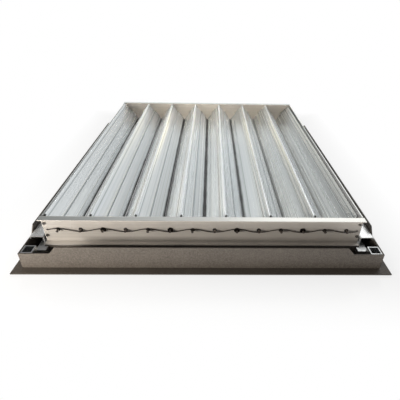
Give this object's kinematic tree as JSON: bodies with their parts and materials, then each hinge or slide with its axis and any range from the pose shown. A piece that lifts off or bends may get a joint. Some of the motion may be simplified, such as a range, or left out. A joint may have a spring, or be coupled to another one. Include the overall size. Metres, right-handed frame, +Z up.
{
  "type": "opposed blade damper",
  "caption": "Opposed blade damper: hooked aluminium blades closed in a zigzag between channel rails, standing in a flanged powder-coated mounting frame.",
  "frame": {"origin": "middle of the flange's face, on the surface the part lies on", "axes": "+X across the blades, +Y along the blades towards the drive bar, +Z up, out of the neck"},
  "size_m": [0.524, 0.624, 0.0645],
  "materials": {
    "frame_coat": "fine textured taupe powder coat on extruded aluminium",
    "key_aluminium": "bare cut aluminium",
    "strip_aluminium": "mill finish aluminium sheet",
    "rail_aluminium": "mill finish aluminium with lengthwise drawing lines",
    "blade_aluminium": "mill finish aluminium extrusion with lengthwise die lines",
    "screw_steel": "dull plated steel",
    "nylon": "black nylon",
    "spring_steel": "dark oiled spring steel",
    "zinc_steel": "zinc plated steel",
    "pivot_steel": "dull plated steel"
  },
  "bodies": {
    "frame": {"frame_front": "frame_coat", "frame_right": "frame_coat", "frame_rear": "frame_coat", "frame_left": "frame_coat", "corner_key_front_left": "key_aluminium", "corner_key_front_right": "key_aluminium", "corner_key_rear_left": "key_aluminium", "corner_key_rear_right": "key_aluminium", "side_strip_right": "strip_aluminium", "side_strip_left": "strip_aluminium", "front_rail": "rail_aluminium", "rear_rail": "rail_aluminium", "right_rail": "rail_aluminium", "left_rail": "rail_aluminium", "corner_screws": "screw_steel", "front_bushes": "nylon", "rear_bushes": "nylon", "friction_wire": "spring_steel", "guide_studs": "zinc_steel"},
    "blade_01_body": {"blade_01": "blade_aluminium", "blade_01_pivots": "pivot_steel"},
    "blade_02_body": {"blade_02": "blade_aluminium", "blade_02_pivots": "pivot_steel"},
    "blade_03_body": {"blade_03": "blade_aluminium", "blade_03_pivots": "pivot_steel", "retaining_clip_03": "spring_steel"},
    "blade_04_body": {"blade_04": "blade_aluminium", "blade_04_pivots": "pivot_steel"},
    "blade_05_body": {"blade_05": "blade_aluminium", "blade_05_pivots": "pivot_steel"},
    "blade_06_body": {"blade_06": "blade_aluminium", "blade_06_pivots": "pivot_steel", "retaining_clip_06": "spring_steel"},
    "blade_07_body": {"blade_07": "blade_aluminium", "blade_07_pivots": "pivot_steel"},
    "blade_08_body": {"blade_08": "blade_aluminium", "blade_08_pivots": "pivot_steel"},
    "blade_09_body": {"blade_09": "blade_aluminium", "blade_09_pivots": "pivot_steel", "retaining_clip_09": "spring_steel"},
    "blade_10_body": {"blade_10": "blade_aluminium", "blade_10_pivots": "pivot_steel"},
    "blade_11_body": {"blade_11": "blade_aluminium", "blade_11_pivots": "pivot_steel"},
    "blade_12_body": {"blade_12": "blade_aluminium", "blade_12_pivots": "pivot_steel", "retaining_clip_12": "spring_steel"},
    "blade_13_body": {"blade_13": "blade_aluminium", "blade_13_pivots": "pivot_steel"},
    "blade_14_body": {"blade_14": "blade_aluminium", "blade_14_pivots": "pivot_steel"},
    "drive_bar_body": {"drive_bar": "zinc_steel"}
  },
  "joints": [
    {"name": "blade_01_hinge", "type": "hinge", "parent": "frame", "child": "blade_01_body", "pos_m": [-0.20506, 0, 0.0425], "axis": [0, 1, 0], "range_deg": [0, 38]},
    {"name": "blade_02_hinge", "type": "hinge", "parent": "frame", "child": "blade_02_body", "pos_m": [-0.17351, 0, 0.0425], "axis": [0, 1, 0], "range_deg": [-38, 0]},
    {"name": "blade_03_hinge", "type": "hinge", "parent": "frame", "child": "blade_03_body", "pos_m": [-0.14196, 0, 0.0425], "axis": [0, 1, 0], "range_deg": [0, 38]},
    {"name": "blade_04_hinge", "type": "hinge", "parent": "frame", "child": "blade_04_body", "pos_m": [-0.11042, 0, 0.0425], "axis": [0, 1, 0], "range_deg": [-38, 0]},
    {"name": "blade_05_hinge", "type": "hinge", "parent": "frame", "child": "blade_05_body", "pos_m": [-0.07887, 0, 0.0425], "axis": [0, 1, 0], "range_deg": [0, 38]},
    {"name": "blade_06_hinge", "type": "hinge", "parent": "frame", "child": "blade_06_body", "pos_m": [-0.04732, 0, 0.0425], "axis": [0, 1, 0], "range_deg": [-38, 0]},
    {"name": "blade_07_hinge", "type": "hinge", "parent": "frame", "child": "blade_07_body", "pos_m": [-0.01577, 0, 0.0425], "axis": [0, 1, 0], "range_deg": [0, 38]},
    {"name": "blade_08_hinge", "type": "hinge", "parent": "frame", "child": "blade_08_body", "pos_m": [0.01577, 0, 0.0425], "axis": [0, 1, 0], "range_deg": [-38, 0]},
    {"name": "blade_09_hinge", "type": "hinge", "parent": "frame", "child": "blade_09_body", "pos_m": [0.04732, 0, 0.0425], "axis": [0, 1, 0], "range_deg": [0, 38]},
    {"name": "blade_10_hinge", "type": "hinge", "parent": "frame", "child": "blade_10_body", "pos_m": [0.07887, 0, 0.0425], "axis": [0, 1, 0], "range_deg": [-38, 0]},
    {"name": "blade_11_hinge", "type": "hinge", "parent": "frame", "child": "blade_11_body", "pos_m": [0.11042, 0, 0.0425], "axis": [0, 1, 0], "range_deg": [0, 38]},
    {"name": "blade_12_hinge", "type": "hinge", "parent": "frame", "child": "blade_12_body", "pos_m": [0.14196, 0, 0.0425], "axis": [0, 1, 0], "range_deg": [-38, 0]},
    {"name": "blade_13_hinge", "type": "hinge", "parent": "frame", "child": "blade_13_body", "pos_m": [0.17351, 0, 0.0425], "axis": [0, 1, 0], "range_deg": [0, 38]},
    {"name": "blade_14_hinge", "type": "hinge", "parent": "frame", "child": "blade_14_body", "pos_m": [0.20506, 0, 0.0425], "axis": [0, 1, 0], "range_deg": [-38, 0]},
    {"name": "drive_bar_slide", "type": "slide", "parent": "frame", "child": "drive_bar_body", "axis": [1, 0, 0], "range_m": [0, 0.00586]}
  ],
  "couplings": [
    {"joint": "blade_02_hinge", "follows": "blade_01_hinge", "ratio": -1},
    {"joint": "blade_03_hinge", "follows": "blade_01_hinge", "ratio": 1},
    {"joint": "blade_04_hinge", "follows": "blade_01_hinge", "ratio": -1},
    {"joint": "blade_05_hinge", "follows": "blade_01_hinge", "ratio": 1},
    {"joint": "blade_06_hinge", "follows": "blade_01_hinge", "ratio": -1},
    {"joint": "blade_07_hinge", "follows": "blade_01_hinge", "ratio": 1},
    {"joint": "blade_08_hinge", "follows": "blade_01_hinge", "ratio": -1},
    {"joint": "blade_09_hinge", "follows": "blade_01_hinge", "ratio": 1},
    {"joint": "blade_10_hinge", "follows": "blade_01_hinge", "ratio": -1},
    {"joint": "blade_11_hinge", "follows": "blade_01_hinge", "ratio": 1},
    {"joint": "blade_12_hinge", "follows": "blade_01_hinge", "ratio": -1},
    {"joint": "blade_13_hinge", "follows": "blade_01_hinge", "ratio": 1},
    {"joint": "blade_14_hinge", "follows": "blade_01_hinge", "ratio": -1},
    {"joint": "drive_bar_slide", "follows": "blade_01_hinge", "m_per_rad": 0.008836}
  ]
}
